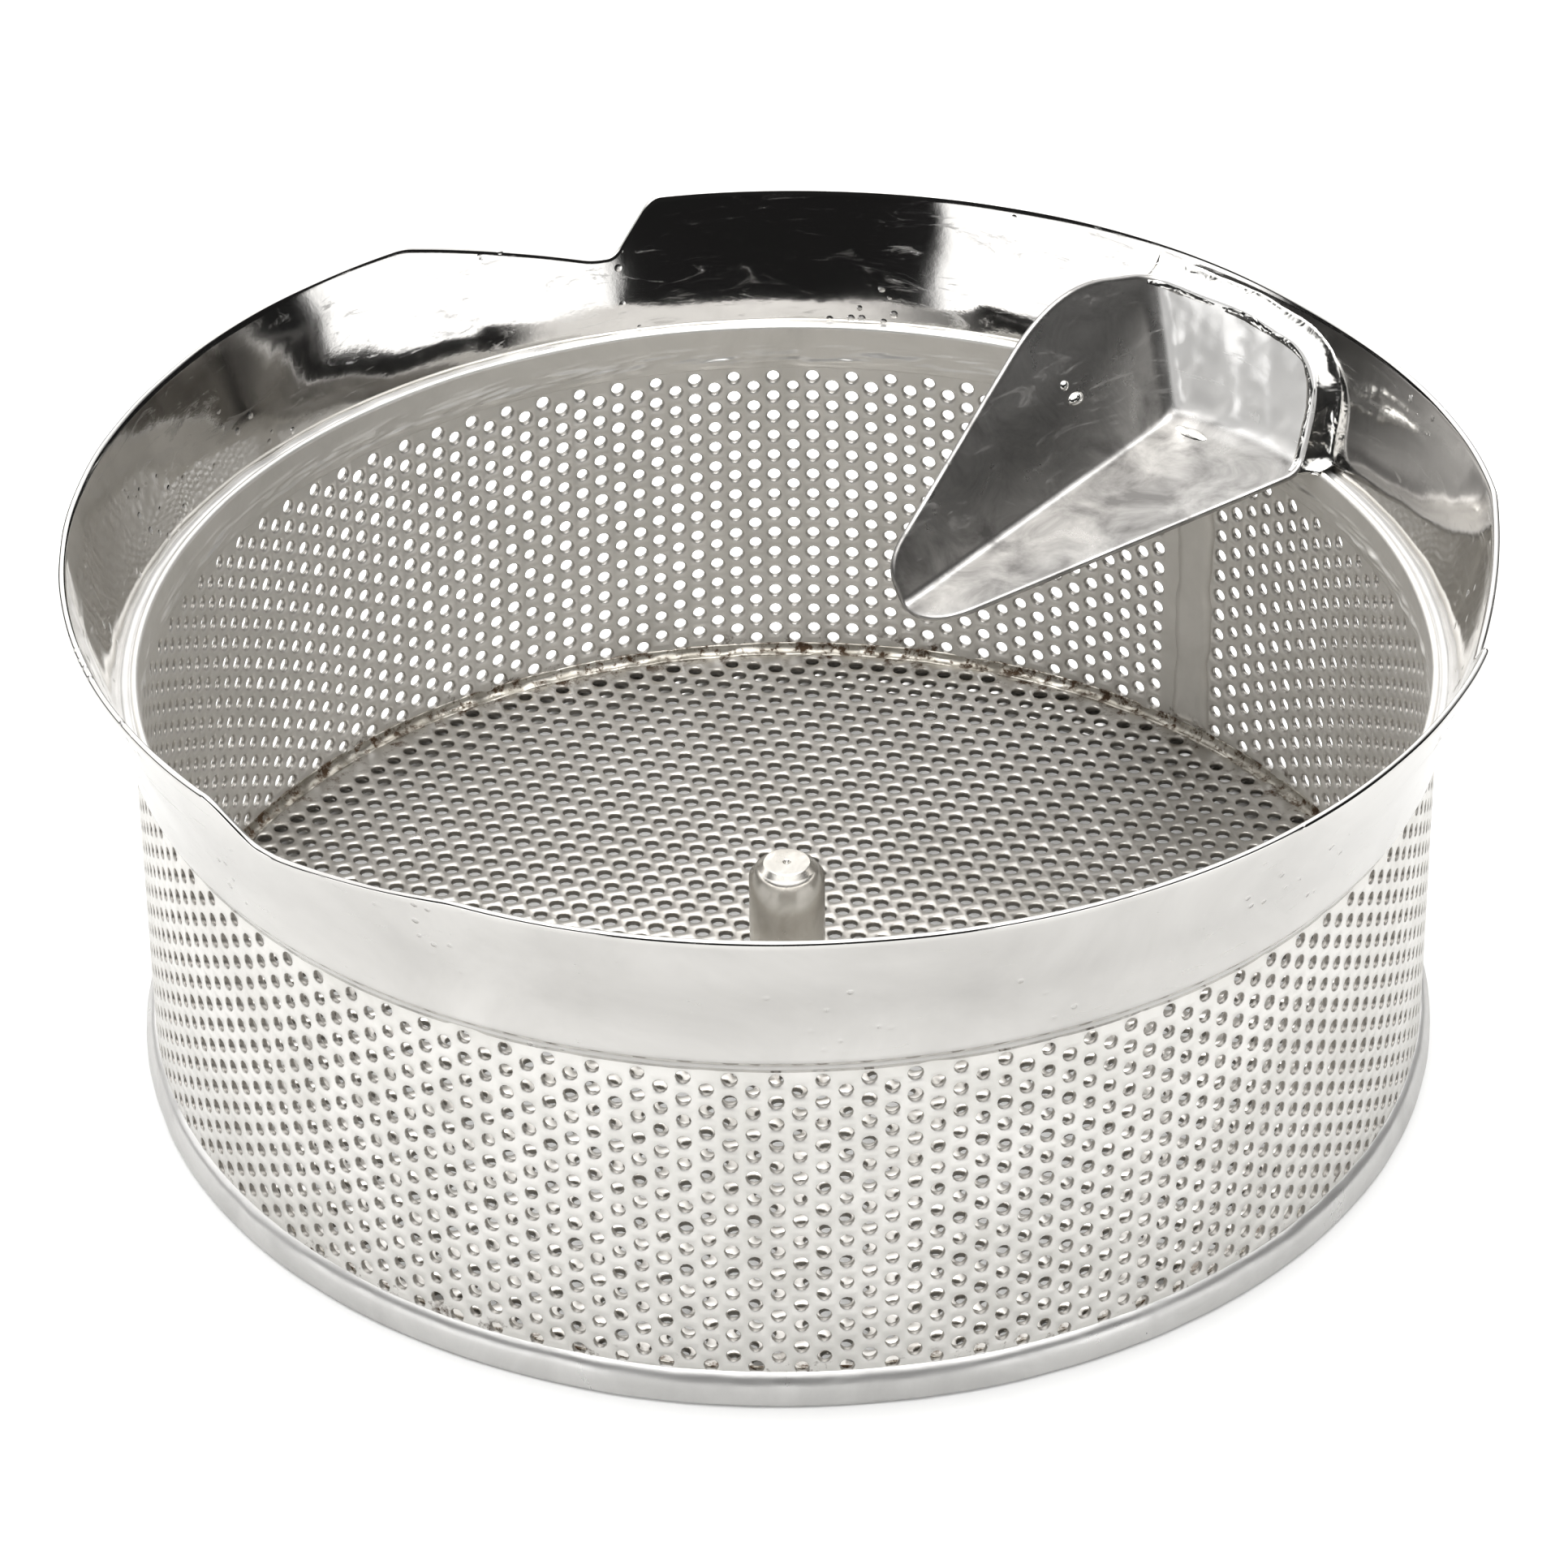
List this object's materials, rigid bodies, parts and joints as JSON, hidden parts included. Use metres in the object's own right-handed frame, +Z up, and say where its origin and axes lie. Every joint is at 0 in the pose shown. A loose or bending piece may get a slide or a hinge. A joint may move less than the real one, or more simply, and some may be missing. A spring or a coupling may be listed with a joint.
{
  "type": "food mill sieve insert",
  "caption": "Round tinned steel sieve basket with a flared bayonet collar, a soldered folded deflector and a chamfered centre pin.",
  "frame": {"origin": "on the resting plane at the basket's axis", "axes": "+Z up along the basket's axis and the centre pin; the deflector stands in the +X +Y quarter, and -Y is the front"},
  "size_m": [0.2016, 0.202, 0.0812],
  "materials": {
    "tinned_wall": "hot-dipped tin, satin, perforated",
    "tinned_base": "hot-dipped tin, satin, perforated, brown residue at the edge",
    "bright_tin_collar": "hot-dipped tin, bright and slightly wavy",
    "dull_tin_deflector": "hot-dipped tin, dull with swirls",
    "tinned_pin": "turned steel, tinned",
    "tin_solder": "solidified tin, bright"
  },
  "bodies": {
    "root": {"side_wall": "tinned_wall", "base_disc": "tinned_base", "rim_flange": "bright_tin_collar", "deflector": "dull_tin_deflector", "pivot_pin": "tinned_pin", "pin_washer": "tinned_pin", "base_solder": "tin_solder", "rim_solder": "tin_solder", "deflector_solder": "tin_solder", "deflector_tin_drops": "tin_solder"}
  },
  "joints": []
}
